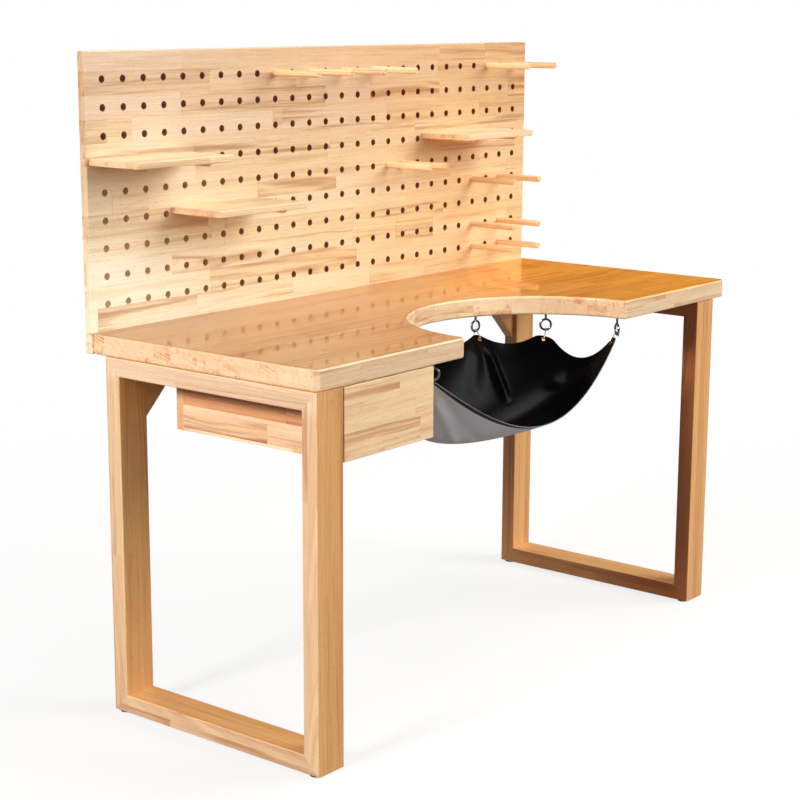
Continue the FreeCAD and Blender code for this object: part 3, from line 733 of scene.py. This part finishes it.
def trim_corner(sheet, across, back, rounding):
    """Round one corner of the flat sheet and punch its eyelet's hole."""
    step = Vector((SHORT_STEP * (1 - 2 * across), SHORT_STEP * (1 - 2 * back)))
    corner = catch_point(across, back)
    along_rim = catch_point(across + step.x, back) - corner
    along_side = catch_point(across, back + step.y) - corner
    inset = EYELET_INSET / math.sin(along_rim.angle(along_side))
    hole = Vector((across + step.x * inset / along_rim.length,
                   back + step.y * inset / along_side.length))

    # How far the hung leather runs for a step across or back on the flat sheet.
    place = catch_point(*hole)
    across_run = (catch_point(hole.x + step.x, hole.y) - place) / step.x
    back_run = (catch_point(hole.x, hole.y + step.y) - place) / step.y
    normal = across_run.cross(back_run)
    across_share = back_run.cross(normal) / normal.length_squared
    back_share = normal.cross(across_run) / normal.length_squared

    inward = [(across_run * step.x).normalized(), (back_run * step.y).normalized()]
    half_corner = inward[0].angle(inward[1]) / 2
    outward = -(inward[0] + inward[1]).normalized()
    tip = across_run * (across - hole.x) + back_run * (back - hole.y)
    round_centre = tip - outward * rounding / math.sin(half_corner)

    def spread(vertex):
        return across_run * (vertex.co.x - hole.x) + back_run * (vertex.co.y - hole.y)

    def put(vertex, offset):
        vertex.co.x = hole.x + offset.dot(across_share)
        vertex.co.y = hole.y + offset.dot(back_share)

    def close(vertex, reach):
        return spread(vertex).length < reach

    def past(vertex):
        away = spread(vertex) - round_centre
        turn = away.angle(outward) if away.length > rounding else math.pi
        return close(vertex, CORNER_REACH) and turn < math.pi / 2 - half_corner

    near = [edge for edge in sheet.edges if any(close(vertex, FINE_CELLS_REACH) for vertex in edge.verts)]
    bmesh.ops.subdivide_edges(sheet, edges=near, cuts=3, use_grid_fill=True)
    waste = [face for face in sheet.faces
             if all(past(vertex) for vertex in face.verts)
             or all(close(vertex, EYELET_HOLE) for vertex in face.verts)]
    bmesh.ops.delete(sheet, geom=waste, context="FACES")
    for vertex in sheet.verts:
        if past(vertex):
            put(vertex, round_centre + (spread(vertex) - round_centre).normalized() * rounding)
        elif close(vertex, EYELET_HOLE):
            put(vertex, spread(vertex).normalized() * EYELET_HOLE)


# The sheet is trimmed and punched flat, in a unit square, and then hung.
bpy.ops.object.select_all(action="DESELECT")
bpy.ops.mesh.primitive_grid_add(
    x_subdivisions=CATCH_CELLS[0], y_subdivisions=CATCH_CELLS[1], size=1.0)
leather = bpy.context.object
leather.name = "leather_sheet"
for vertex in leather.data.vertices:
    vertex.co += Vector((0.5, 0.5, 0.0))
sheet = bmesh.new()
sheet.from_mesh(leather.data)
for across in (0, 1):
    for back in (0, 1):
        trim_corner(sheet, across, back, BACK_ROUND if back else FRONT_ROUND)
for vertex in sheet.verts:
    vertex.co = catch_point(vertex.co.x, vertex.co.y)
bmesh.ops.dissolve_degenerate(sheet, dist=SHORTEST_EDGE, edges=sheet.edges)
loose = [vertex for vertex in sheet.verts if not vertex.link_faces]
bmesh.ops.delete(sheet, geom=loose, context="VERTS")
sheet.normal_update()
lifts = [vertex.normal * fold_height(vertex.co) for vertex in sheet.verts]
for vertex, lift in zip(sheet.verts, lifts):
    vertex.co += lift
sheet.to_mesh(leather.data)
sheet.free()

# The leather's run from its front rim to its back, and how far in from that rim the dye reaches.
FRONT_TO_BACK = 0.40
EDGE_DYE = 0.004
PEBBLES = 900.0
PEBBLE_DEPTH = 0.0001
NAP_DEPTH = 0.0005

leather_black, hide = new_finish("leather_black")
grain_place = hide.node("TexCoord", {}, {}, "Object")
pebble = hide.node("TexVoronoi", {"feature": "DISTANCE_TO_EDGE"}, {
    "Vector": grain_place, "Scale": PEBBLES}, "Distance")
mottle = hide.node("TexNoise", {}, {"Vector": grain_place, "Scale": 24.0, "Detail": 4.0})
scuff_noise = hide.node("TexNoise", {}, {"Vector": grain_place, "Scale": 70.0, "Detail": 5.0})
scuff = scuff_noise.rise(0.56, 0.75)
grain_relief = hide.node("Bump", {}, {
    "Height": pebble.rise(0.0, 0.3) + mottle * 0.6, "Strength": 0.2, "Distance": PEBBLE_DEPTH}, "Normal")
black = hide.blend(mottle * 0.6 + scuff * 0.4, paint(3, 3, 4), paint(9, 9, 10))
grain_face = hide.node("BsdfPrincipled", {}, {
    "Base Color": black, "Roughness": mottle * 0.08 + scuff * 0.04 + 0.22, "Normal": grain_relief,
    "Specular IOR Level": 0.038}, "BSDF")
hide.node("OutputMaterial", {}, {"Surface": grain_face})

leather_flesh, suede = new_finish("leather_flesh")
nap_place = suede.node("TexCoord", {}, {}, "Object")
nap = suede.node("TexNoise", {}, {"Vector": nap_place, "Scale": 700.0, "Detail": 4.0, "Roughness": 0.7})
clouds = suede.node("TexNoise", {}, {"Vector": nap_place, "Scale": 14.0, "Detail": 3.0})
nap_colour = suede.blend(nap * 0.5 + clouds * 0.5, paint(208, 220, 238), paint(236, 243, 255))
from_front_rim = suede.node("SeparateXYZ", {}, {"Vector": nap_place.other("UV")}, "Y") * FRONT_TO_BACK
dyed = 1.0 - from_front_rim.rise(EDGE_DYE * 0.85, EDGE_DYE)
nap_relief = suede.node("Bump", {}, {"Height": nap, "Strength": 0.5, "Distance": NAP_DEPTH}, "Normal")
flesh_face = suede.node("BsdfPrincipled", {}, {
    "Base Color": suede.blend(dyed, nap_colour, paint(4, 4, 4)), "Roughness": 0.9,
    "Normal": nap_relief, "Sheen Weight": 0.1}, "BSDF")
suede.node("OutputMaterial", {}, {"Surface": flesh_face})

# The cut edge is coloured light grey as a painted highlight along the rim.
leather_rim_highlight, cut = new_finish("leather_rim_highlight")
cut_place = cut.node("TexCoord", {}, {}, "Object")
cut_fibre = cut.node("TexNoise", {}, {"Vector": cut_place, "Scale": 1200.0, "Detail": 2.0})
cut_face = cut.node("BsdfPrincipled", {}, {
    "Base Color": cut.blend(cut_fibre, paint(84, 84, 88), paint(126, 126, 130)), "Roughness": 0.5}, "BSDF")
cut.node("OutputMaterial", {}, {"Surface": cut_face})

for finish in (leather_black, leather_flesh, leather_rim_highlight):
    leather.data.materials.append(finish)
thick = leather.modifiers.new("thickness", "SOLIDIFY")
thick.thickness = LEATHER_THICKNESS
thick.offset = 0.0
thick.material_offset = 1
thick.material_offset_rim = 2
bpy.ops.object.modifier_apply(modifier=thick.name)
bpy.ops.object.shade_smooth_by_angle(angle=LEATHER_CREASE)
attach(leather, "bench")
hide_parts("leather_catch")
